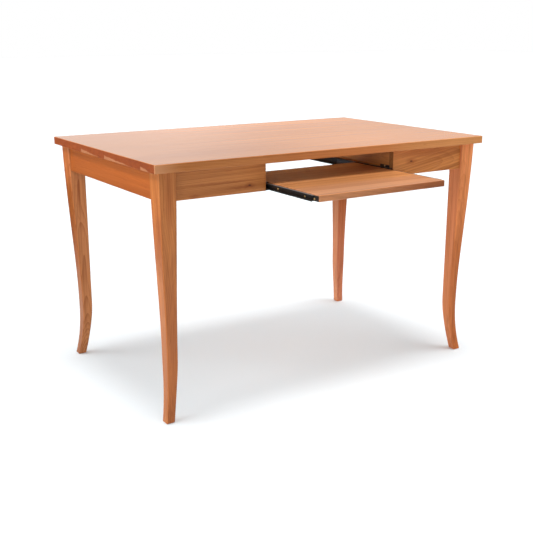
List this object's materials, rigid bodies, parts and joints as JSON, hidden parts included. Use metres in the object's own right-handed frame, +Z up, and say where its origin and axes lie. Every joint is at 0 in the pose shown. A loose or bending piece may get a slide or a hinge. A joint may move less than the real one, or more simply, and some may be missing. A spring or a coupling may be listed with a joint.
{
  "type": "writing desk",
  "caption": "Solid cherry writing desk with tapered, flared legs and a keyboard tray that slides out of its front apron on ball-bearing slides.",
  "frame": {"origin": "on the floor, under the middle of the top", "axes": "+X to the sitter's right, -Y to the front, where the tray comes out, +Z up"},
  "size_m": [1.2192, 0.982, 0.762],
  "materials": {
    "top_cherry": "satin oil",
    "leg_cherry": "satin oil",
    "rail_cherry": "satin oil",
    "tray_cherry": "satin oil",
    "slide_black": "black electrocoat",
    "cage_steel": "bright zinc",
    "screw_zinc": "yellow zinc"
  },
  "bodies": {
    "desk": {"desktop": "top_cherry", "leg_front_left": "leg_cherry", "leg_front_right": "leg_cherry", "leg_back_left": "leg_cherry", "leg_back_right": "leg_cherry", "apron_left": "rail_cherry", "apron_right": "rail_cherry", "apron_back": "rail_cherry", "apron_front_left": "rail_cherry", "apron_front_right": "rail_cherry", "partition_left": "rail_cherry", "partition_right": "rail_cherry", "glue_block_left": "rail_cherry", "glue_block_right": "rail_cherry", "top_buttons": "rail_cherry", "block_screws": "screw_zinc", "button_screws": "screw_zinc", "channel_screws": "screw_zinc", "slide_channel_left": "slide_black", "slide_channel_right": "slide_black"},
    "ball_cages": {"ball_cage_left": "cage_steel", "ball_cage_right": "cage_steel", "bearing_balls_left": "cage_steel", "bearing_balls_right": "cage_steel"},
    "tray": {"keyboard_tray": "tray_cherry", "tray_runner_left": "slide_black", "tray_runner_right": "slide_black", "runner_screws": "screw_zinc"}
  },
  "joints": [
    {"name": "tray_slide", "type": "slide", "parent": "desk", "child": "tray", "axis": [0, -1, 0], "range_m": [-0.247, 0.053]},
    {"name": "cage_slide", "type": "slide", "parent": "desk", "child": "ball_cages", "axis": [0, -1, 0], "range_m": [-0.1235, 0.0265]}
  ],
  "couplings": [
    {"joint": "cage_slide", "follows": "tray_slide", "ratio": 0.5}
  ]
}
